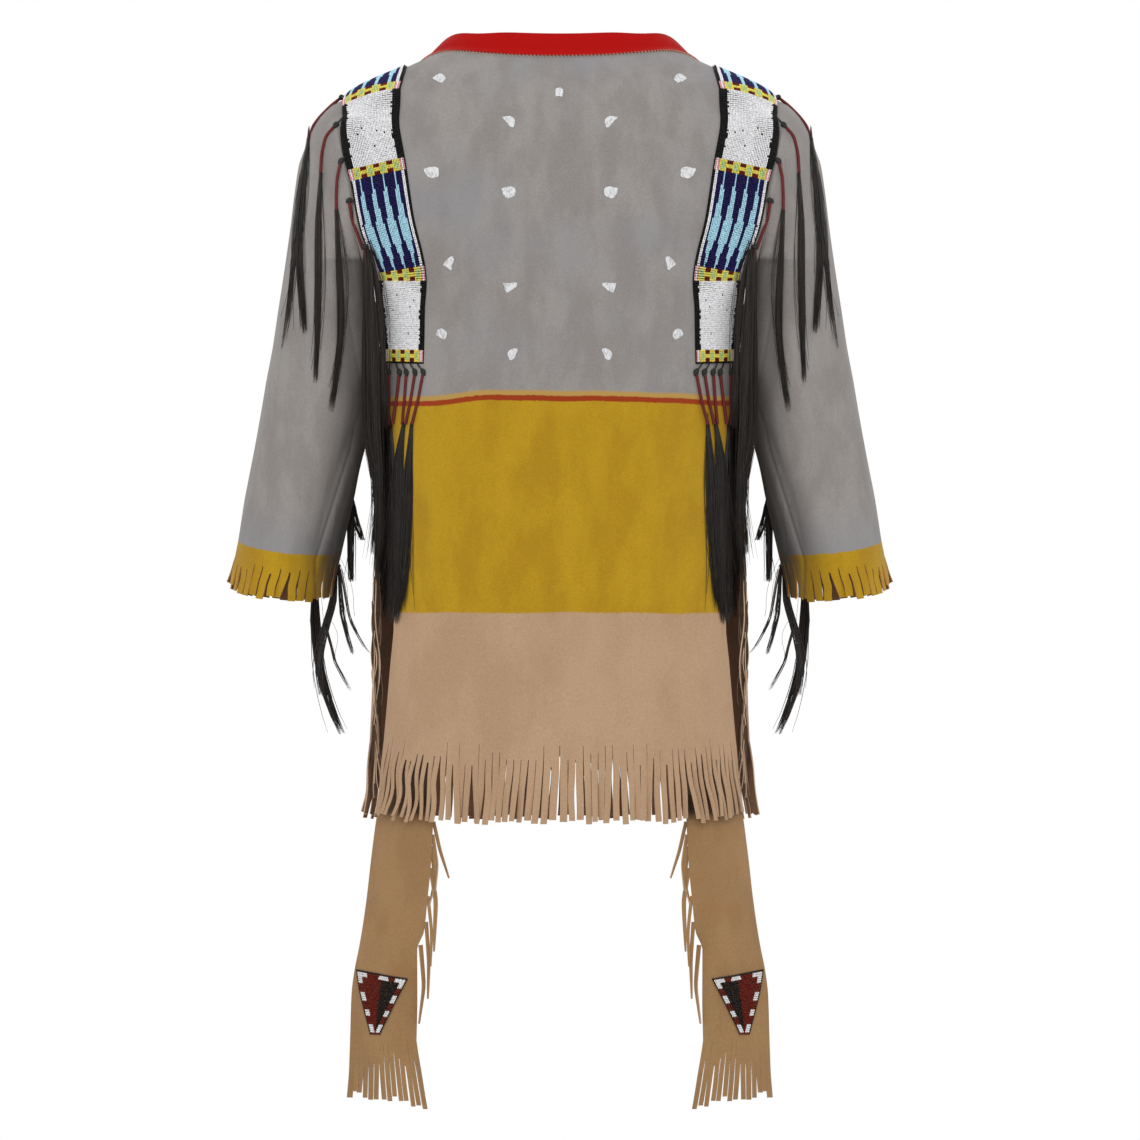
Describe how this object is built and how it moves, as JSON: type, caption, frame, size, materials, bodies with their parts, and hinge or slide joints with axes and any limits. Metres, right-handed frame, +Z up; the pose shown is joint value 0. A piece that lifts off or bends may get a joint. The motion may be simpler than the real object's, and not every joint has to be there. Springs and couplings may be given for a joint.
{
  "type": "war shirt",
  "caption": "Poncho-cut hide war shirt, filled out as worn, with beaded strips, hair locks, fringed hem and cuffs and hanging hide legs.",
  "frame": {"origin": "on the shoulder line under the middle of the neck opening, where the wearer's shoulders carry the shirt", "axes": "+Z up, -Y to the wearer's back, +X to the wearer's right"},
  "size_m": [0.7152, 0.2462, 1.1644],
  "materials": {
    "painted_hide": "brain-tanned hide, matt, painted blue-grey above, yellow below",
    "ochre_hide": "brain-tanned hide, matt, rubbed with yellow earth paint",
    "bare_hide": "smoked brain-tanned hide, matt suede",
    "red_wool": "fulled red trade wool",
    "seed_beads": "opaque glass seed beads in lanes",
    "hair": "dark hair locks with red wrapped stems"
  },
  "bodies": {
    "root": {"back_hide": "painted_hide", "front_hide": "painted_hide", "sleeve_right": "painted_hide", "sleeve_left": "painted_hide", "neck_band": "red_wool", "bead_strip_right": "seed_beads", "bead_strip_left": "seed_beads", "bead_patch_right": "seed_beads", "bead_patch_left": "seed_beads", "back_hem_fringe": "bare_hide", "front_hem_fringe": "bare_hide", "hide_leg_right": "bare_hide", "hide_leg_left": "bare_hide", "leg_fringe_right": "bare_hide", "leg_fringe_left": "bare_hide", "leg_side_fringe_right": "bare_hide", "leg_side_fringe_left": "bare_hide", "side_fringe_right": "bare_hide", "side_fringe_left": "bare_hide", "cuff_fringe_right": "ochre_hide", "cuff_fringe_left": "ochre_hide", "edge_locks_back_right": "hair", "edge_locks_back_left": "hair", "edge_locks_front_right": "hair", "edge_locks_front_left": "hair", "end_locks_back_right": "hair", "end_locks_back_left": "hair", "end_locks_front_right": "hair", "end_locks_front_left": "hair", "sleeve_locks_right": "hair", "sleeve_locks_left": "hair"}
  },
  "joints": []
}
